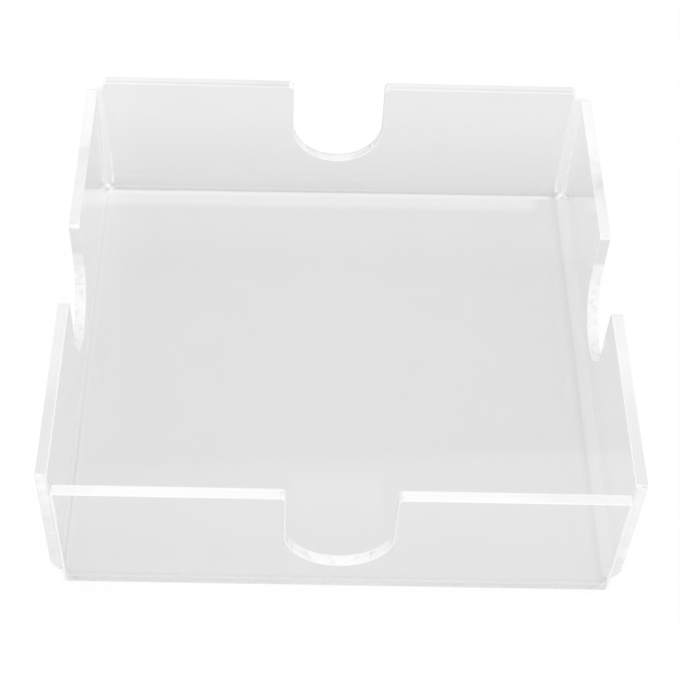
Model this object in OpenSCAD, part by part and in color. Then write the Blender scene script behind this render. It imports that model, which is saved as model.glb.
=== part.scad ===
// Square napkin tray folded from one clear sheet. A flat floor carries four upright walls,
// each with its bend along the foot and a thumb notch in the rim. The corner seams stay open.
// The origin is the middle of the underside, the front wall faces -Y and the rim is up.

/* [Sheet] */
// Thickness of the clear sheet
sheet_t = 3; // [2:0.5:5]
// Inside radius of the bends along the floor
bend_r = 2; // [1:0.25:4]

/* [Tray] */
// Width inside, between the side walls
inside_w = 142; // [110:2:200]
// Depth inside, between the front and back walls
inside_d = 142; // [110:2:200]
// Height of the rim above the table
rim_h = 43; // [41:1:70]

/* [Corner seams] */
// Gap between a side wall and the end of the front or back wall
end_gap = 1.1; // [0.8:0.1:2]
// How far a side wall stops short of the front and back walls
side_gap = 2.1; // [1.5:0.1:3]
// How far the round relief at the foot of a seam reaches past the floor's corner
relief_reach = 0.15; // [0.1:0.05:0.5]
// Rounding of the upper corners of each wall
tip_r = 1; // [0.4:0.1:2]

/* [Thumb notch] */
// Width between the straight sides of a notch
notch_w = 27; // [20:1:36]
// Depth of a notch below the rim
notch_depth = 29.6; // [20:0.2:32]
// Rounding where a notch meets the rim
notch_lip_r = 1.4; // [0.4:0.1:3]

/* [Hidden] */
$fn = 96;
overrun = 0.5;                                 // by which every cut passes the face that it opens
heel_r = bend_r + sheet_t;                     // outside radius of a bend
bend_h = heel_r;                               // a wall stands straight above this height
floor_w = inside_w - 2 * bend_r;               // flat part of the floor, left to right
floor_d = inside_d - 2 * bend_r;               // flat part of the floor, front to back
front_len = inside_w - 2 * end_gap;            // length of the front and back walls
side_len = inside_d - 2 * side_gap;            // length of the side walls
relief_r = norm([max(bend_r - end_gap, 0), max(bend_r - side_gap, 0)]) + relief_reach;
notch_round_r = notch_w / 2;                   // the notch ends in a half circle
notch_round_z = rim_h - notch_depth + notch_round_r;

// What rounding takes off a square corner whose tip is the origin and whose body lies at -x, -y
module corner_waste(r) {
    translate([-r, -r]) difference() {
        square(r + overrun);
        circle(r);
    }
}

// A notch seen from the front: half circle below, straight sides up past the rim, rounded lips
module notch_outline() {
    translate([0, notch_round_z]) circle(notch_round_r);
    translate([-notch_round_r, notch_round_z])
        square([notch_w, rim_h - notch_round_z + overrun]);
    for (side = [0, 1])
        mirror([side, 0]) translate([-notch_round_r, rim_h]) corner_waste(notch_lip_r);
}

// A wall seen from the front, with its notch and rounded upper corners
module wall_outline(len) {
    difference() {
        translate([-len / 2, 0]) square([len, rim_h]);
        notch_outline();
        for (side = [0, 1])
            mirror([side, 0]) translate([len / 2, rim_h]) corner_waste(tip_r);
    }
}

// A wall seen from its end: the upright stands at x from -sheet_t to 0 and the bend turns inward
module wall_profile() {
    translate([-sheet_t, bend_h]) square([sheet_t, rim_h - bend_h]);
    translate([bend_r, bend_h]) intersection() {
        difference() {
            circle(heel_r);
            circle(bend_r);
        }
        translate([-heel_r, -heel_r]) square(heel_r);
    }
}

// The round relief at the foot of a seam, as a hole through floor and bends
module relief_hole() {
    translate([0, 0, -overrun]) cylinder(h = bend_h + overrun, r = relief_r);
}

// A wall of a given length, inner face on y = 0 and the tray at +y. The reliefs lie at its ends,
// inset from its inner face by the gap of the walls beside it.
module formed_wall(len, inset) {
    difference() {
        intersection() {
            rotate([90, 0, 90]) translate([0, 0, -len / 2]) linear_extrude(len) wall_profile();
            translate([0, bend_r + overrun, 0]) rotate([90, 0, 0])
                linear_extrude(heel_r + 2 * overrun) wall_outline(len);
        }
        for (side = [-1, 1]) translate([side * len / 2, inset, 0]) relief_hole();
    }
}

// Flat bottom sheet between the four bends, bitten at each corner by the relief
module floor_panel() {
    color([0.88, 0.90, 0.91, 0.45]) difference() {
        translate([-floor_w / 2, -floor_d / 2, 0]) cube([floor_w, floor_d, sheet_t]);
        for (side = [-1, 1], end = [-1, 1])
            translate([side * (inside_w / 2 - end_gap), end * (inside_d / 2 - side_gap), 0])
                relief_hole();
    }
}

module front_wall() {
    color([0.90, 0.92, 0.93, 0.45])
        translate([0, -inside_d / 2, 0]) formed_wall(front_len, side_gap);
}

module back_wall() {
    color([0.90, 0.92, 0.93, 0.45])
        rotate(180) translate([0, -inside_d / 2, 0]) formed_wall(front_len, side_gap);
}

module left_wall() {
    color([0.86, 0.89, 0.91, 0.45])
        rotate(-90) translate([0, -inside_w / 2, 0]) formed_wall(side_len, end_gap);
}

module right_wall() {
    color([0.86, 0.89, 0.91, 0.45])
        rotate(90) translate([0, -inside_w / 2, 0]) formed_wall(side_len, end_gap);
}

floor_panel();
front_wall();
back_wall();
left_wall();
right_wall();
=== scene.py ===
# Clear napkin tray: one folded sheet shown as a floor and four walls, with pale cut edges
import math

import bpy
import numpy as np
from mathutils import Matrix, Vector


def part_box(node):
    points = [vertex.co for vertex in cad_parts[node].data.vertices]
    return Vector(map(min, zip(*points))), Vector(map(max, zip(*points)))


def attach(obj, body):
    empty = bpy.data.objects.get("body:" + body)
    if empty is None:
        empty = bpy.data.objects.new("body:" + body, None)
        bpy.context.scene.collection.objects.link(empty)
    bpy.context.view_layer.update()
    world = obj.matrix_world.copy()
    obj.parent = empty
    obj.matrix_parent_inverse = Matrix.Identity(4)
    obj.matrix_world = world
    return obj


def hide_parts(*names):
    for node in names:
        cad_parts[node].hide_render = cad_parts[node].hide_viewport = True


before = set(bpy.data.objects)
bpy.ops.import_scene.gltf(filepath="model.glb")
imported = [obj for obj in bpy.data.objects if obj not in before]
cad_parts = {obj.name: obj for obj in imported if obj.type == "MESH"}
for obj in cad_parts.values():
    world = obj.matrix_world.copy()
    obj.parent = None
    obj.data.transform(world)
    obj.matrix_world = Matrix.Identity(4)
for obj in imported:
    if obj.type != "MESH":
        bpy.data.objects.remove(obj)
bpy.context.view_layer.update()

millimetre = 0.001


# Real sizes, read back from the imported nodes
def readSheet():
    # thickness is the floor's height; the other sizes are differences between the nodes' boxes
    floorLow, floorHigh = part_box("floor_panel")
    frontLow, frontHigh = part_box("front_wall")
    rightLow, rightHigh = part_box("right_wall")
    thickness = floorHigh.z - floorLow.z
    halfWidth = rightHigh.x - thickness
    halfDepth = -frontLow.y - thickness
    return {
        "thickness": thickness,
        "halfWidth": halfWidth,
        "halfDepth": halfDepth,
        "rim": frontHigh.z,
        "bend": halfWidth - floorHigh.x,
        "frontHalf": frontHigh.x,
        "sideHalf": rightHigh.y,
    }


sheet = readSheet()
print("stage: sheet sizes in mm", {k: round(v / millimetre, 2) for k, v in sheet.items()})


def setStops(ramp, stops):
    # a Color Ramp's stops: each is a position and a grey
    while len(ramp.elements) < len(stops):
        ramp.elements.new(0.5)
    for element, (position, grey) in zip(ramp.elements, stops):
        element.position = position
        element.color = (grey, grey, grey, 1)


# Shader maths: a wrapped socket whose operators add Math nodes
class Wire:
    def __init__(self, tree, socket):
        self.tree = tree
        self.socket = socket

    def node(self, kind, settings=None, sockets=None, output=0):
        # any node: its settings first, then the values or links of its sockets
        made = self.tree.nodes.new(kind)
        for name, value in (settings or {}).items():
            if name == "stops":
                setStops(made.color_ramp, value)
            else:
                setattr(made, name, value)
        for name, value in (sockets or {}).items():
            if isinstance(value, Wire):
                self.tree.links.new(value.socket, made.inputs[name])
            else:
                made.inputs[name].default_value = value
        return Wire(self.tree, made.outputs[output] if len(made.outputs) else None)

    def math(self, operation, other, swapped=False):
        pair = (other, self) if swapped else (self, other)
        return self.node("ShaderNodeMath", {"operation": operation}, {0: pair[0], 1: pair[1]})

    def __add__(self, other):
        return self.math("ADD", other)

    def __radd__(self, other):
        return self.math("ADD", other, True)

    def __sub__(self, other):
        return self.math("SUBTRACT", other)

    def __rsub__(self, other):
        return self.math("SUBTRACT", other, True)

    def __mul__(self, other):
        return self.math("MULTIPLY", other)

    def __rmul__(self, other):
        return self.math("MULTIPLY", other, True)


def newMaterial(name):
    # an empty material and a wire from which its nodes are made
    material = bpy.data.materials.new(name)
    material.use_nodes = True
    material.node_tree.nodes.clear()
    return material, Wire(material.node_tree, None)


def finishMaterial(material, surface):
    surface.node("ShaderNodeOutputMaterial", None, {"Surface": surface})
    return material


def mattShader(wire, colour):
    # a plain matt surface: only its base colour shows, with no shine
    return wire.node("ShaderNodeBsdfPrincipled", None, {
        "Base Color": colour, "Roughness": 1.0, "Specular IOR Level": 0.0})


# Clear faces of the sheet
clearLook = {
    # tint and bending, the grey that straight rays keep, the turns after which a ray is let out,
    # and the slow mottling: its depth and how fine it is per metre
    "tint": 0.995, "ior": 1.49, "shade": 0.97, "deepest": 4.5, "mottleDepth": 0.025, "mottleScale": 70.0,
    # painted shade along each bend, a soft dark line: its middle in mm, its depth, and its widths before
    # and after the middle
    "right": (69.1, 0.055, 2.8, 0.35), "left": (-70.4, 0.085, 0.6, 0.55),
    "back": (69.4, 0.02, 0.8, 0.8), "front": (-69.6, 0.11, 0.35, 0.9),
    # the left painted shade line gets this much deeper over these places along it
    "leftNear": 0.13, "leftFade": (-15.0, -35.0),
}


def coordinates(wire, scaling=1.0):
    # object coordinates as a vector and as three separate values, times a scaling
    place = wire.node("ShaderNodeTexCoord", None, None, 3)
    split = wire.node("ShaderNodeSeparateXYZ", None, {0: place}).socket.node.outputs
    return [place] + [Wire(wire.tree, output) * scaling for output in split]


def fade(value, start, end, low, high):
    # smooth step of a value from low at start to high at end
    return value.node("ShaderNodeMapRange", {"clamp": True, "interpolation_type": "SMOOTHSTEP"}, {
        0: value, 1: start, 2: end, 3: low, 4: high})


def greyRamp(value, stops):
    # grey that runs straight from stop to stop of a value
    return value.node("ShaderNodeValToRGB", {"stops": stops}, {"Fac": value})


def noise(vector, scaling, detail, rough=0.5):
    # fractal noise on a stretched vector
    stretched = vector.node("ShaderNodeVectorMath", {"operation": "MULTIPLY"}, {0: vector, 1: scaling})
    return vector.node("ShaderNodeTexNoise", None, {
        "Vector": stretched, "Scale": 1.0, "Detail": detail, "Roughness": rough})


def creaseShade(place, x, y, z):
    # tint of the sheet: the full tint, less a soft dark line of painted shade along each heated bend
    # that fades over its own width to each side, less a faint slow mottling everywhere
    def line(value, name):
        middle, depth, before, after = clearLook[name]
        rise = fade(value, middle - before, middle, 0.0, depth)
        return rise.math("MINIMUM", fade(value, middle, middle + after, depth, 0.0))

    low = z.math("LESS_THAN", (sheet["thickness"] + sheet["bend"]) / millimetre)
    inside = z.math("GREATER_THAN", (sheet["thickness"] / 2) / millimetre)
    nearest = 1 + clearLook["leftNear"] / clearLook["left"][1]
    leftLine = line(x, "left") * fade(y, *clearLook["leftFade"], 1.0, nearest) * inside
    # the dark lines along the bends are painted shade, kept low on the sheet
    lines = line(x, "right") + leftLine + line(y, "back") + line(y, "front")
    mottle = noise(place, (clearLook["mottleScale"],) * 3, detail=3.0, rough=0.6)
    mottle = mottle * clearLook["mottleDepth"]
    return clearLook["tint"] + clearLook["mottleDepth"] / 2 - mottle - lines * low


def clearMaterial():
    # glass-clear plastic; shadow and diffuse rays pass straight through at a light grey, and a
    # ray that has been thrown about inside the sheet several times is let out
    material, wire = newMaterial("clear_sheet")
    path = wire.node("ShaderNodeLightPath")
    outputs = path.socket.node.outputs
    shadow = Wire(wire.tree, outputs["Is Shadow Ray"])
    diffuse = Wire(wire.tree, outputs["Is Diffuse Ray"])
    depth = Wire(wire.tree, outputs["Ray Depth"])
    place, x, y, z = coordinates(wire, 1 / millimetre)
    level = creaseShade(place, x, y, z)
    colour = wire.node("ShaderNodeCombineColor", None, {0: level, 1: level, 2: level})
    body = wire.node("ShaderNodeBsdfPrincipled", None, {
        "Base Color": colour, "Roughness": 0.0, "IOR": clearLook["ior"], "Transmission Weight": 1.0})
    grey = clearLook["shade"]
    passing = wire.node("ShaderNodeBsdfTransparent", None, {"Color": (grey, grey, grey, 1)})
    straight = shadow.math("MAXIMUM", diffuse)
    deep = depth.math("GREATER_THAN", clearLook["deepest"])
    mixed = wire.node("ShaderNodeMixShader", None, {
        0: straight.math("MAXIMUM", deep), 1: body, 2: passing})
    return finishMaterial(material, mixed)


# Cut edges of the sheet
edgeLook = {
    # shine, clear share, the grey that shadow rays keep, and matt share
    "roughness": 0.4, "clear": 0.05, "shade": 0.9, "matt": 0.7,
    # level along each rim, as stops of share of the tray's length and level
    "left": [(0.05, 0.76), (0.17, 0.78), (0.24, 0.82), (0.38, 0.84), (0.62, 0.84), (0.78, 0.86),
             (0.84, 0.93)],
    "right": [(0.05, 0.79), (0.18, 0.81), (0.30, 0.91), (0.38, 0.88), (0.66, 0.88), (0.73, 0.79),
              (0.83, 0.93)],
    "front": [(0.04, 0.88), (0.12, 0.93), (0.40, 0.92), (0.75, 0.94), (0.84, 0.87), (0.95, 0.88)],
    "back": [(0.04, 0.88), (0.20, 0.85), (0.35, 0.80), (0.65, 0.85), (0.80, 0.85), (0.95, 0.83)],
    # level of the notches: their rounds, what the back one gains to its left between two
    # places in mm, and their straight sides, down to this far below the rim
    "arcSide": 0.90, "arcFront": 0.95, "arcBack": 0.92, "arcFar": 0.09, "arcFade": (-8.0, -11.0),
    "notchSide": 0.75, "notchFront": 0.86, "notchFade": (12.2, 10.4),
    # level of the walls' ends: at the foot from this height in mm, at the top, and at the back
    "endFoot": 0.82, "endHeight": 8.0, "endTop": 0.85, "endBack": 0.91, "endFar": 0.99,
    # marks: depth of the lines along the cut, of slow changes, of blotches and cross marks on
    # the rounds, and of the mottling on the front ends and, between two fades, the side rims
    "lineDepth": 0.07, "slowDepth": 0.07, "blotchDepth": 0.11, "crossDepth": 0.11,
    "mottleDepth": 0.22, "mottleStart": (22.0, 30.0), "mottleEnd": (44.0, 50.0),
    # how fine these are: per mm along and share across the cut, or per metre in space
    "lineScale": (0.02, 9.0, 1.0), "crossScale": (0.6, 0.25, 1.0),
    "slowScale": 60.0, "blotchScale": 420.0, "mottleScale": 190.0,
    "lineStops": [(0.42, 0.5), (0.62, -0.5)], "blotchStops": [(0.50, 0.0), (0.68, 1.0)],
    "crossStops": [(0.56, 0.0), (0.66, 1.0)],
    # level of the painted highlight line at each face, its stops across the cut, and how the inner one
    # fades along the side rims and shows on the rounds
    "innerHighlight": 0.94, "outerHighlight": 0.92, "innerFade": (-10.0, 20.0, 0.6), "innerRound": 0.8,
    "innerStops": [(0.10, 1.0), (0.17, 0.0)], "outerStops": [(0.90, 0.0), (0.95, 1.0)],
    # a dark band along the back rim and a dark line along the back notch's round
    "bandDepth": 0.06, "bandStops": [(0.16, 0.0), (0.22, 1.0), (0.40, 1.0), (0.46, 0.0)],
    "roundBandDepth": 0.10, "roundBandStops": [(0.72, 0.0), (0.80, 1.0)],
}


def edgeTone(x, y, z, rounds, sides, ends):
    # level of a cut edge by place: each is mixed in over the last by its share, first the
    # rims, then the notch's round, its straight sides, and the ends, darker toward the foot
    length = 2 * (sheet["halfWidth"] + sheet["thickness"]) / millimetre

    def along(value, name):
        return greyRamp(value * (1 / length) + 0.5, edgeLook[name])

    def choose(low, high, share):
        return low + share * (high - low)

    # the side walls stand outside the ends of the front and back walls
    between = (sheet["frontHalf"] + sheet["halfWidth"]) / 2 / millimetre
    isSide = x.math("ABSOLUTE", 0).math("GREATER_THAN", between)
    isRight, isBack = x.math("GREATER_THAN", 0), y.math("GREATER_THAN", 0)
    sideTone = choose(along(y, "left"), along(y, "right"), isRight)
    rim = choose(choose(along(x, "front"), along(x, "back"), isBack), sideTone, isSide)
    arcTone = edgeLook["arcFront"] + isBack * (edgeLook["arcBack"] - edgeLook["arcFront"])
    farTone = isBack * fade(x, *edgeLook["arcFade"], 0.0, edgeLook["arcFar"])
    arcTone = choose(arcTone + farTone, edgeLook["arcSide"], isSide)
    high = sheet["rim"] / millimetre
    upper = fade(z, high - edgeLook["notchFade"][0], high - edgeLook["notchFade"][1], 0.0, 1.0)
    tone = choose(rim, arcTone, rounds)
    upright = edgeLook["notchFront"] + isSide * (edgeLook["notchSide"] - edgeLook["notchFront"])
    tone = choose(tone, upright, sides * upper)
    endTone = fade(z, edgeLook["endHeight"], high, edgeLook["endFoot"], edgeLook["endTop"])
    backTone = edgeLook["endBack"] + isSide * (edgeLook["endFar"] - edgeLook["endBack"])
    return choose(tone, choose(endTone, backTone, isBack), ends), isSide, isBack


def edgeMaterial():
    # polished saw cut: mostly pale and matt, with fine lines along the straight runs, marks
    # across the rounds, and a painted highlight line at each face; map x is mm along the cut, y goes
    # across;
    # a matt share keeps the cut pale where it is seen from inside the sheet
    material, wire = newMaterial("cut_edge")
    path = wire.node("ShaderNodeLightPath")
    shadow = Wire(wire.tree, path.socket.node.outputs["Is Shadow Ray"])
    run = wire.node("ShaderNodeUVMap", {"uv_map": "cutRun"})
    place, x, y, z = coordinates(wire, 1 / millimetre)
    split = wire.node("ShaderNodeSeparateXYZ", None, {0: run})
    across = Wire(wire.tree, split.socket.node.outputs[1])
    rounds, sides, ends = (wire.node("ShaderNodeAttribute", {"attribute_name": name}, None, 2)
                           for name in ("roundShare", "sideShare", "endShare"))
    tone, isSide, isBack = edgeTone(x, y, z, rounds, sides, ends)
    lines = greyRamp(noise(run, edgeLook["lineScale"], detail=2.0), edgeLook["lineStops"])
    slow = noise(place, (edgeLook["slowScale"],) * 3, detail=1.0) - 0.5
    blotch = noise(place, (edgeLook["blotchScale"],) * 3, detail=3.0, rough=0.6)
    blotch = greyRamp(blotch, edgeLook["blotchStops"])
    cross = noise(run, edgeLook["crossScale"], detail=3.0, rough=0.7)
    cross = greyRamp(cross, edgeLook["crossStops"])
    mottle = noise(place, (edgeLook["mottleScale"],) * 3, detail=2.0, rough=0.6) - 0.5
    straight = 1 - rounds
    worn = fade(y, *edgeLook["mottleStart"], 0.0, 1.0) * fade(y, *edgeLook["mottleEnd"], 1.0, 0.0)
    patchy = (isSide * worn).math("MAXIMUM", ends * (1 - isBack))
    pale = (tone + (lines * edgeLook["lineDepth"] + slow * edgeLook["slowDepth"]) * straight
            - (blotch * edgeLook["blotchDepth"] + cross * edgeLook["crossDepth"]) * rounds
            + mottle * patchy * edgeLook["mottleDepth"])
    # the front and back rims have no painted highlight line at their inner face
    start, end, loss = edgeLook["innerFade"]
    highlightShare = isSide * (1 - fade(y, start, end, 0.0, loss)).math("MAXIMUM", ends)
    highlightShare = highlightShare.math("MAXIMUM", rounds * edgeLook["innerRound"])
    # painted highlight lines: the inner one on the side walls and the rounds, the outer one everywhere
    inner = greyRamp(across, edgeLook["innerStops"]) * highlightShare
    outer = greyRamp(across, edgeLook["outerStops"])
    level = pale + inner * (edgeLook["innerHighlight"] - pale)
    level = level + outer * (edgeLook["outerHighlight"] - level)
    band = greyRamp(across, edgeLook["bandStops"]) * edgeLook["bandDepth"]
    roundBand = greyRamp(across, edgeLook["roundBandStops"]) * edgeLook["roundBandDepth"]
    level = level - (band * straight + roundBand * rounds) * isBack * (1 - isSide)
    colour = wire.node("ShaderNodeCombineColor", None, {0: level, 1: level, 2: level})
    body = wire.node("ShaderNodeBsdfPrincipled", None, {
        "Base Color": colour, "Roughness": edgeLook["roughness"],
        "IOR": clearLook["ior"], "Transmission Weight": edgeLook["clear"]})
    body = wire.node("ShaderNodeMixShader", None, {
        0: edgeLook["matt"], 1: body, 2: mattShader(wire, colour)})
    grey = edgeLook["shade"]
    passing = wire.node("ShaderNodeBsdfTransparent", None, {"Color": (grey, grey, grey, 1)})
    mixed = wire.node("ShaderNodeMixShader", None, {0: shadow, 1: body, 2: passing})
    return finishMaterial(material, mixed)


def seamMaterial():
    # the sheet runs on through here, so the face between floor and bend lets everything pass
    material, wire = newMaterial("sheet_runs_on")
    return finishMaterial(material, wire.node("ShaderNodeBsdfTransparent"))


# Outline of a wall in the flat sheet
notchCut = {"width": 27 * millimetre, "depth": 29.6 * millimetre, "lip": 1.4 * millimetre}
wallCut = {"tip": 1.0 * millimetre, "relief": 1.05 * millimetre, "rimRound": 0.22 * millimetre,
           "endRound": 0.6 * millimetre, "biteRound": 0.03 * millimetre,
           "arcSteps": 10, "notchSteps": 48, "bendSteps": 20, "roundSteps": 4, "growRows": 4,
           "patternShift": 1000, "slack": 0.01 * millimetre, "tipShare": 0.6}


def arc(centre, radius, startDegrees, endDegrees, steps):
    # points on a circle: centre plus radius times cosine and sine of an evenly stepped angle
    angle = np.radians(np.linspace(startDegrees, endDegrees, steps + 1))
    return np.stack([centre[0] + radius * np.cos(angle), centre[1] + radius * np.sin(angle)], 1)


def bendLength():
    # length of the middle of the sheet round the bend: a quarter circle
    return (sheet["bend"] + sheet["thickness"] / 2) * math.pi / 2


def halfOutline(half, inset):
    # right half of a wall in sheet coordinates, x along the wall and s up the sheet from the
    # bend line: relief bite, end, tip, rim, lip, notch side, half of the notch's round
    rim = bendLength() + sheet["rim"] - sheet["thickness"] - sheet["bend"]
    tip, lip, relief = wallCut["tip"], notchCut["lip"], wallCut["relief"]
    notch = notchCut["width"] / 2
    middle = rim - notchCut["depth"] + notch
    biteHeight = sheet["bend"] - inset
    start = 180 + math.degrees(math.asin(biteHeight / relief))
    steps = wallCut["arcSteps"]
    bite = arc((half, biteHeight), relief, start, 90, steps)
    bite[0, 1] = 0.0
    bendRows = np.linspace(biteHeight + relief, bendLength(), wallCut["bendSteps"] + 1)[1:]
    end = np.stack([np.full(len(bendRows), half), bendRows], 1)
    tipArc = arc((half - tip, rim - tip), tip, 0, 90, steps)
    lipArc = arc((notch + lip, rim - lip), lip, 90, 180, steps)
    roundArc = arc((0, middle), notch, 0, -90, wallCut["notchSteps"])
    return np.concatenate([bite, end, tipArc, lipArc, roundArc])


def outlineNormals(path):
    # unit normals into the material: the tangent between neighbours turned a quarter left
    tangent = np.gradient(path, axis=0)
    tangent /= np.linalg.norm(tangent, axis=1, keepdims=True)
    return np.stack([-tangent[:, 1], tangent[:, 0]], 1)


def foldSheet(x, s, depth):
    # sheet coordinates to space: s below the bend's length turns about the bend's centre by
    # s over the middle radius, above it the wall stands; depth runs from inner to outer face
    bend, thickness, quarter = sheet["bend"], sheet["thickness"], bendLength()
    angle = np.clip(s / (bend + thickness / 2), 0, math.pi / 2)
    radius = bend + depth
    y = bend - radius * np.sin(angle)
    z = thickness + bend - radius * np.cos(angle) + np.maximum(s - quarter, 0)
    return np.stack([x, y, z], -1)


def foldDirection(nx, ns, nd, s):
    # a direction in the sheet turned with the fold
    angle = np.clip(s / (sheet["bend"] + sheet["thickness"] / 2), 0, math.pi / 2)
    y = -ns * np.cos(angle) - nd * np.sin(angle)
    z = ns * np.sin(angle) - nd * np.cos(angle)
    return np.stack([nx, y, z], -1)


def roundingRadii():
    # rounding of the cut edge for each point of the right half outline: small at the relief
    # bite, larger along the flamed ends, easing over the tip to that of the rim and the notch
    steps, big, small, bite = (wallCut[k] for k in ("arcSteps", "endRound", "rimRound", "biteRound"))
    grow = np.minimum(np.arange(1, wallCut["bendSteps"] + 1) / wallCut["growRows"], 1)
    return np.concatenate([
        np.full(steps + 1, bite), bite + (big - bite) * grow, np.linspace(big, small, steps + 1),
        np.full(steps + 1 + wallCut["notchSteps"] + 1, small)])


def edgeProfile(radii):
    # across a cut edge: inset from the outline and depth, a small quarter round at each face,
    # for each point's own rounding radius
    thickness = sheet["thickness"]
    turn = np.radians(np.linspace(0, 90, wallCut["roundSteps"] + 1))
    inset = radii[:, None] * (1 - np.sin(turn))
    depth = radii[:, None] * (1 - np.cos(turn))
    insets = np.concatenate([inset, inset[:, ::-1]], 1)
    depths = np.concatenate([depth, thickness - depth[:, ::-1]], 1)
    out = np.concatenate([np.sin(turn), np.sin(turn[::-1])])
    across = np.concatenate([-np.cos(turn), np.cos(turn[::-1])])
    return insets, depths, out, across


def buildMesh(name, points, normals, run, shares, faces, slots, materials):
    # points and faces as a mesh with its materials, map and shares; smooth where it has normals
    mesh = bpy.data.meshes.new(name)
    mesh.from_pydata(points.tolist(), [], faces)
    for material in materials:
        mesh.materials.append(material)
    mesh.polygons.foreach_set("material_index", np.array(slots, np.int32))
    mesh.polygons.foreach_set("use_smooth", np.full(len(faces), normals is not None))
    corner = np.zeros(len(mesh.loops), np.int32)
    mesh.loops.foreach_get("vertex_index", corner)
    mesh.uv_layers.new(name="cutRun").data.foreach_set("uv", run[corner].ravel())
    for share, values in shares.items():
        mesh.attributes.new(share, "FLOAT", "POINT").data.foreach_set("value", values)
    mesh.update()
    if normals is not None:
        mesh.normals_split_custom_set_from_vertices(normals.tolist())
    piece = bpy.data.objects.new(name, mesh)
    bpy.context.scene.collection.objects.link(piece)
    return piece


def turned(points, quarterTurns, shift):
    # a front wall shifted out to its place, then turned by quarter turns about the tray's middle
    angle = quarterTurns * math.pi / 2
    c, s = round(math.cos(angle)), round(math.sin(angle))
    moved = points + np.array([0, shift, 0])
    x, y, z = moved.T
    return np.stack([x * c - y * s, x * s + y * c, z], 1)


def wallFaces(index, foldRows):
    # index is the grid of points along the outline and across the cut. The cut edge is a band of
    # quads. The inner and the outer face have a quad from end to end for each row of the bend,
    # and one face for the upright part. The seam closes the foot. Slots: clear 0, cut 1, seam 2
    band = np.stack([index[:-1, :-1], index[1:, :-1], index[1:, 1:], index[:-1, 1:]], -1)
    band = band.reshape(-1, 4)
    faces, slots = band.tolist(), [1] * len(band)
    rows = np.arange(foldRows)
    for column, isOuter in ((0, False), (-1, True)):
        line = index[:, column]
        mirror = line[::-1]
        quads = np.stack([line[rows], mirror[rows], mirror[rows + 1], line[rows + 1]], -1)
        upright = mirror[foldRows:len(line) - foldRows]
        if isOuter:
            quads, upright = quads[:, ::-1], upright[::-1]
        faces += quads.tolist() + [upright.tolist()]
        slots += [0] * (len(quads) + 1)
    faces.append(index[0].tolist() + index[-1][::-1].tolist())
    slots.append(2)
    return faces, slots


def edgeShares(path, along, half, ring):
    # shares from 0 to 1 for each point. A round: how sharply the outline turns, against the
    # notch's own radius. A side: the notch's upright sides. An end: the ends below the tips
    notchHalf, slack = notchCut["width"] / 2, wallCut["slack"]
    heading = np.unwrap(np.arctan2(np.gradient(path[:, 1]), np.gradient(path[:, 0])))
    bending = np.abs(np.gradient(heading)) / (np.gradient(along) * millimetre)
    rounds = np.clip(bending * notchHalf, 0, 1)
    fromMiddle, height = np.abs(path[:, 0]), path[:, 1]
    rim = height.max()
    notchMiddle = rim - notchCut["depth"] + notchHalf
    sides = (fromMiddle < notchHalf + slack) & (height > notchMiddle - slack)
    belowTip = height < rim - wallCut["tipShare"] * wallCut["tip"]
    ends = ((fromMiddle > half - wallCut["relief"]) & belowTip).astype(float)
    shares = {"roundShare": rounds * (1 - ends), "sideShare": sides.astype(float), "endShare": ends}
    return {name: np.repeat(values, ring) for name, values in shares.items()}


def buildWall(name, half, inset, wallDistance, quarterTurns, materials):
    # the outline is mirrored, each of its points gets the profile across the cut, and the grid
    # that this makes is folded up and turned to its side; points next to the bend line keep to it
    right = halfOutline(half, inset)
    path = np.concatenate([right, right[-2::-1] * np.array([-1, 1])])
    inward = outlineNormals(path)
    count = len(path)
    halfRadii = roundingRadii()
    insets, depths, out, across = edgeProfile(np.concatenate([halfRadii, halfRadii[-2::-1]]))
    ring = len(out)
    fromEnd = np.minimum(np.arange(count), np.arange(count)[::-1])
    grow = np.clip(fromEnd / wallCut["arcSteps"], 0, 1)[:, None]
    x = path[:, :1] + inward[:, :1] * insets * grow
    s = np.maximum(path[:, 1:] + inward[:, 1:] * insets * grow, 0)
    s[0] = s[-1] = 0
    points = turned(foldSheet(x, s, depths).reshape(-1, 3), quarterTurns, -wallDistance)
    nx, ns = -inward[:, :1] * out, -inward[:, 1:] * out
    normals = foldDirection(nx, ns, np.broadcast_to(across, (count, ring)), s).reshape(-1, 3)
    normals = turned(normals, quarterTurns, 0)
    foldRows = int(np.sum(right[:, 1] <= bendLength() + wallCut["slack"])) - 1
    faces, slots = wallFaces(np.arange(count * ring).reshape(count, ring), foldRows)
    # map of the cut: mm along it, from another start on each wall, and share of its width
    step = np.linalg.norm(np.diff(path, axis=0), axis=1)
    along = np.concatenate([[0], np.cumsum(step)]) / millimetre
    along = along + wallCut["patternShift"] * quarterTurns
    parts = np.hypot(np.diff(insets, prepend=insets[:, :1]), np.diff(depths, prepend=0))
    width = np.cumsum(parts, 1)
    run = np.stack(np.broadcast_arrays(along[:, None], width / width[:, -1:]), -1).reshape(-1, 2)
    shares = edgeShares(path, along, half, ring)
    return buildMesh(name, points, normals, run, shares, faces, slots, materials)


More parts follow.
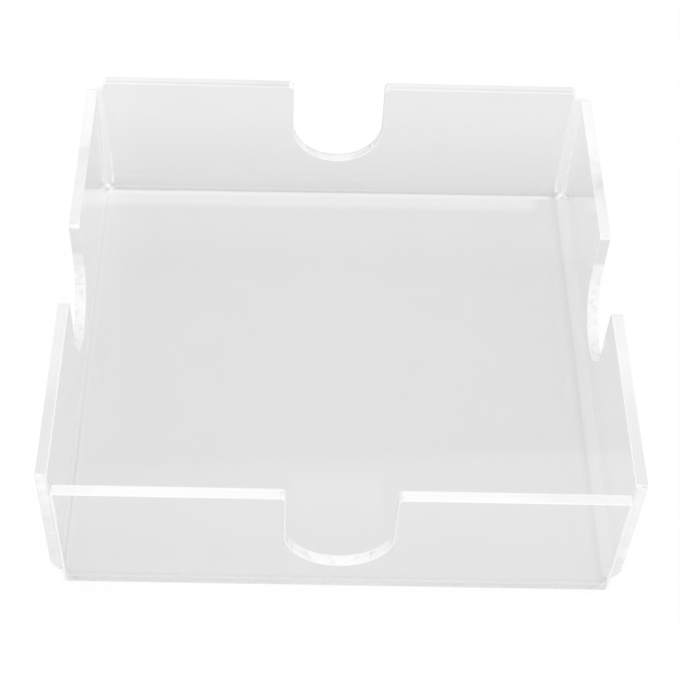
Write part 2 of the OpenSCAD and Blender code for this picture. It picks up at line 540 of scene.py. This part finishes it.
def buildFloor(name, materials):
    # plate with a bite at each corner where the relief holes cut it: the arc of one corner,
    # mirrored to the other three, once at the top and once at the underside
    bend, thickness = sheet["bend"], sheet["thickness"]
    halfX, halfY = sheet["halfWidth"] - bend, sheet["halfDepth"] - bend
    centre = np.array([sheet["frontHalf"], sheet["sideHalf"]])
    relief = wallCut["relief"]
    alongY = centre[1] - math.sqrt(relief ** 2 - (centre[0] - halfX) ** 2)
    alongX = centre[0] - math.sqrt(relief ** 2 - (centre[1] - halfY) ** 2)
    startAngle = math.degrees(math.atan2(alongY - centre[1], halfX - centre[0]))
    endAngle = math.degrees(math.atan2(halfY - centre[1], alongX - centre[0]))
    bite = arc(centre, relief, startAngle % 360, endAngle % 360, wallCut["arcSteps"])
    corner = [bite * np.array([1, 1]), bite[::-1] * np.array([-1, 1]), bite * np.array([-1, -1]),
              bite[::-1] * np.array([1, -1])]
    outline = np.concatenate(corner)
    count = len(outline)
    top = np.column_stack([outline, np.full(count, thickness)])
    bottom = np.column_stack([outline, np.zeros(count)])
    points = np.concatenate([top, bottom])
    up, down = np.arange(count), np.arange(count) + count
    sides = np.stack([up, down, np.roll(down, -1), np.roll(up, -1)], -1)
    faces = [up.tolist(), down[::-1].tolist()] + sides.tolist()
    perCorner = wallCut["arcSteps"] + 1
    slots = [0, 0] + np.where(np.arange(1, count + 1) % perCorner == 0, 2, 1).tolist()
    run = np.concatenate([outline, outline])[:, :1] / millimetre * np.array([1, 0])
    none, full = np.zeros(2 * count), np.ones(2 * count)
    shares = {"roundShare": none, "sideShare": none, "endShare": full}
    return buildMesh(name, points, None, run, shares, faces, slots, materials)


materials = [clearMaterial(), edgeMaterial(), seamMaterial()]
# half length, inset of the relief from the inner face, and distance of a wall from the middle
frontPlan = (sheet["frontHalf"], sheet["halfDepth"] - sheet["sideHalf"], sheet["halfDepth"])
sidePlan = (sheet["sideHalf"], sheet["halfWidth"] - sheet["frontHalf"], sheet["halfWidth"])
wallPlan = {
    "front_sheet": ("front_wall", frontPlan, 0),
    "right_sheet": ("right_wall", sidePlan, 1),
    "back_sheet": ("back_wall", frontPlan, 2),
    "left_sheet": ("left_wall", sidePlan, 3),
}
for pieceName, (node, plan, quarterTurns) in wallPlan.items():
    wall = buildWall(pieceName, *plan, quarterTurns, materials)
    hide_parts(node)
    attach(wall, "root")
floorSheet = buildFloor("floor_sheet", materials)
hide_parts("floor_panel")
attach(floorSheet, "root")
print("stage: sheet pieces built")


# Studio: pale floor that the camera sees white, soft lamps overhead and in front, a pale sky.
# Places are in mm from the tray's middle, and two places give the start and end of a fade.
studio = {
    "floorSize": 6.0, "floorDrop": 0.05 * millimetre, "floorGrey": 0.790, "skyGrey": 0.83, "glow": 0.5,
    # painted shade behind the tray: the ground there runs from a low to a high level over its length
    "behindLow": -0.040, "behindHigh": 0.050, "behindLength": 36.0, "behindStart": 70.5,
    # light before the front wall: gain, growth per mm to the right and slant; then what it
    # loses farther forward and gains beyond the wall
    "frontGain": 0.029, "frontSlope": 0.00010, "frontTurn": 0.06, "frontFade": (-30.0, -36.0),
    "frontLoss": 0.020, "lossFade": (-45.0, -65.0), "beyondGain": 0.12, "beyondWidth": 4.0,
    # light that falls in through the front notch: fades across, at its far and near side
    "notchGain": 0.022, "notchAcross": (14.0, 11.0), "notchFar": (-37.0, -42.0),
    "notchNear": (-62.0, -67.0),
    # painted light strip before the back wall, measured from its end line, and where it fades out to
    # the right; a thin painted highlight line at its end, that grows there, and a painted shade line
    # beyond
    "backEnd": 68.8, "backSlope": 0.008, "backGain": 0.082, "backStart": (-8.0, -4.0),
    "backFade": (60.0, 65.0), "lineGain": 0.05, "lineStart": (-1.8, -1.0), "lineRise": 1.8,
    "lineFade": (66.0, 69.0), "backSlow": 0.030, "slowFade": (38.0, 58.0),
    "darkDepth": 0.075, "darkStart": (0.0, 0.3), "darkEnd": (0.9, 1.3),
    # a little more light along the left wall, at the back and farther forward
    "leftGain": 0.012, "leftAcross": (-62.0, -70.0), "leftBack": (0.0, 30.0),
    "leftSlow": 0.016, "slowAcross": (-54.0, -66.0), "slowBack": (-42.0, -26.0),
    # painted shadow behind the back wall: share, left and right side with their slants, far end, the
    # notch's middle with the half widths of its light, and where that light starts
    "shadeShare": 0.90, "shadeLeft": (-73.5, -77.5, -0.11), "shadeRight": (75.0, 79.0, 0.17),
    "shadeEnd": (114.0, 119.0), "shadeNotch": (1.8, 17.0, 21.0), "shadeFoot": (79.0, 84.0),
    "shadeInside": 6.0,
}
lamps = {"overhead_lamp": {"size": (0.35, 0.35), "power": 1.2, "place": (0, 0, 0.9), "turn": (0, 0, 0)},
         "front_lamp": {"size": (1.6, 0.9), "power": 7.0, "place": (0, -1.7, 0.55), "turn": (75, 0, 0)}}


def frontLight(alongX, alongY, edge):
    # level gained toward the front: a slanted band, the front notch's light and the ground
    # beyond the wall, less a slow loss
    slanted = alongY - alongX * studio["frontTurn"]
    band = studio["frontGain"] + alongX * studio["frontSlope"]
    front = fade(slanted, *studio["frontFade"], 0.0, 1.0) * band
    front = front + fade(alongY, -edge, -edge - studio["beyondWidth"], 0.0, studio["beyondGain"])
    notch = fade(alongX.math("ABSOLUTE", 0), *studio["notchAcross"], 0.0, studio["notchGain"])
    notch = notch * fade(alongY, *studio["notchFar"], 0.0, 1.0)
    notch = notch * fade(alongY, *studio["notchNear"], 1.0, 0.0)
    return front + notch - fade(alongY, *studio["lossFade"], 0.0, studio["frontLoss"])


def backLight(alongX, alongY):
    # painted light before the back wall's end line: a light strip, a thin highlight line and a slow
    # gain, less the painted shade line just beyond it
    back = alongY - alongX * studio["backSlope"] - studio["backEnd"]
    far = fade(alongX, *studio["backFade"], 0.0, 1.0)
    thin = fade(back, *studio["lineStart"], 0.0, studio["lineGain"]) * (1 + far * studio["lineRise"])
    thin = thin * fade(alongX, *studio["lineFade"], 1.0, 0.0)
    strip = fade(back, *studio["backStart"], 0.0, studio["backGain"]) * (1 - far)
    gains = strip + thin + fade(alongY, *studio["slowFade"], 0.0, studio["backSlow"])
    # painted shade: a dark line on the ground just beyond the back wall's end line
    dark = fade(back, *studio["darkStart"], 0.0, 1.0) * fade(back, *studio["darkEnd"], 1.0, 0.0)
    return gains * back.math("LESS_THAN", 0) - dark * studio["darkDepth"]


def leftLight(alongX, alongY):
    # level gained along the left wall, one fade across times one along for each of two parts
    left = fade(alongX, *studio["leftAcross"], 0.0, studio["leftGain"])
    left = left * fade(alongY, *studio["leftBack"], 0.0, 1.0)
    slow = fade(alongX, *studio["slowAcross"], 0.0, studio["leftSlow"])
    slow = slow * fade(alongY, *studio["slowBack"], 0.0, 1.0)
    return left + slow * alongY.math("LESS_THAN", studio["behindStart"])


def wallShadow(alongX, alongY, edge):
    # painted soft shadow of the back wall on the floor behind it: fades at its sides and end, times
    # one less the light of the notch; it also keeps the ground grey where the two open seams
    # at the back are looked through
    shade = fade(alongY, *studio["shadeEnd"], 1.0, 0.0)
    for start, end, slope in (studio["shadeLeft"], studio["shadeRight"]):
        shade = shade * fade(alongX - (alongY - edge) * slope, start, end, 1.0, 0.0)
    middle, narrow, broad = studio["shadeNotch"]
    lightPool = fade((alongX - middle).math("ABSOLUTE", 0), broad, narrow, 0.0, 1.0)
    lightPool = lightPool * fade(alongY, *studio["shadeFoot"], 0.0, 1.0)
    beyond = alongY.math("GREATER_THAN", edge - studio["shadeInside"])
    return shade * (1 - lightPool) * beyond * studio["shadeShare"]


def floorMaterial():
    # one matt floor: where the camera looks straight at it, it is white and half glows, which
    # keeps the tray's shadow pale, less a painted shadow behind the back wall; other rays see a pale
    # grey
    # with painted light and shade: darker next to the tray and lighter far behind it, a
    # little lighter toward the front and before the back wall, where the walls throw light down
    material, wire = newMaterial("studio_floor")
    path = wire.node("ShaderNodeLightPath")
    direct = Wire(wire.tree, path.socket.node.outputs["Is Camera Ray"])
    alongX, alongY = coordinates(wire, 1 / millimetre)[1:3]
    edge = (sheet["halfDepth"] + sheet["thickness"]) / millimetre
    # painted shade: the ground behind the tray is darkest next to it
    behind = wire.node("ShaderNodeMapRange", {"clamp": True}, {
        0: alongY, 1: edge, 2: edge + studio["behindLength"],
        3: studio["behindLow"], 4: studio["behindHigh"]})
    behind = behind * alongY.math("GREATER_THAN", studio["behindStart"])
    level = behind + frontLight(alongX, alongY, edge) + backLight(alongX, alongY)
    level = level + leftLight(alongX, alongY) + studio["floorGrey"]
    grey = wire.node("ShaderNodeCombineColor", None, {0: level, 1: level, 2: level})
    # painted shadow: where the camera looks straight at the floor behind the back wall, it turns toward
    # the grey
    direct = direct * (1 - wallShadow(alongX, alongY, edge))
    colour = wire.node("ShaderNodeMix", {"data_type": "RGBA"}, {0: direct, 6: grey, 7: (1, 1, 1, 1)}, 2)
    white = wire.node("ShaderNodeEmission", None, {"Color": (1, 1, 1, 1), "Strength": 1.0})
    mixed = wire.node("ShaderNodeMixShader", None, {
        0: direct * studio["glow"], 1: mattShader(wire, colour), 2: white})
    return finishMaterial(material, mixed)


def buildStage():
    # a wide square of floor, a hair below the tray so that the two never share a plane
    half = studio["floorSize"] / 2
    mesh = bpy.data.meshes.new("studio_floor")
    corners = [(-half, -half, 0), (half, -half, 0), (half, half, 0), (-half, half, 0)]
    mesh.from_pydata(corners, [], [(0, 1, 2, 3)])
    mesh.materials.append(floorMaterial())
    ground = bpy.data.objects.new("studio_floor", mesh)
    ground.location.z = -studio["floorDrop"]
    bpy.context.scene.collection.objects.link(ground)


def buildLight():
    # an even pale sky, and the soft lamps
    world = bpy.data.worlds.new("studio_world")
    world.use_nodes = True
    bpy.context.scene.world = world
    background = world.node_tree.nodes["Background"]
    grey = studio["skyGrey"]
    background.inputs["Color"].default_value = (grey, grey, grey, 1)
    background.inputs["Strength"].default_value = 1.0
    for name, plan in lamps.items():
        lamp = bpy.data.lights.new(name, "AREA")
        lamp.shape = "RECTANGLE"
        lamp.size, lamp.size_y = plan["size"]
        lamp.energy = plan["power"]
        holder = bpy.data.objects.new(name, lamp)
        holder.location = plan["place"]
        holder.rotation_euler = [math.radians(v) for v in plan["turn"]]
        # the lamps light the tray but don't show in it as white patches
        holder.visible_glossy = holder.visible_transmission = False
        bpy.context.scene.collection.objects.link(holder)


buildStage()
buildLight()
print("stage: studio built")


# Camera, from the photograph: a lens far above the front, rolled a little
shot = {"focalPixels": 1633.64, "framePixels": 680, "centrePixels": (318.0, 340.0), "yaw": 1.6515,
        "tilt": 50.7114, "roll": 2.4068, "place": (40.340, -155.019, 259.559), "sensor": 36.0}


def buildCamera():
    # place is in hundredths of the inside width from the inside front left corner
    unit = 2 * sheet["halfWidth"] / 100
    along, deep, high = shot["place"]
    place = Vector(((along - 50) * unit, (deep - 50) * unit, high * unit))
    yaw, tilt, roll = (math.radians(shot[k]) for k in ("yaw", "tilt", "roll"))
    ahead = Vector((math.sin(yaw) * math.cos(tilt), math.cos(yaw) * math.cos(tilt), -math.sin(tilt)))
    level = Vector((math.cos(yaw), -math.sin(yaw), 0))
    above = level.cross(ahead)
    right = math.cos(roll) * level + math.sin(roll) * above
    up = -math.sin(roll) * level + math.cos(roll) * above
    data = bpy.data.cameras.new("camera")
    data.sensor_width = shot["sensor"]
    data.lens = shot["focalPixels"] / shot["framePixels"] * shot["sensor"]
    data.shift_x = (shot["framePixels"] / 2 - shot["centrePixels"][0]) / shot["framePixels"]
    data.shift_y = (shot["centrePixels"][1] - shot["framePixels"] / 2) / shot["framePixels"]
    camera = bpy.data.objects.new("camera", data)
    turn = Matrix((right, up, -ahead)).transposed()
    camera.matrix_world = Matrix.Translation(place) @ turn.to_4x4()
    bpy.context.scene.collection.objects.link(camera)
    bpy.context.scene.camera = camera


buildCamera()
bpy.context.scene.view_settings.view_transform = "Standard"
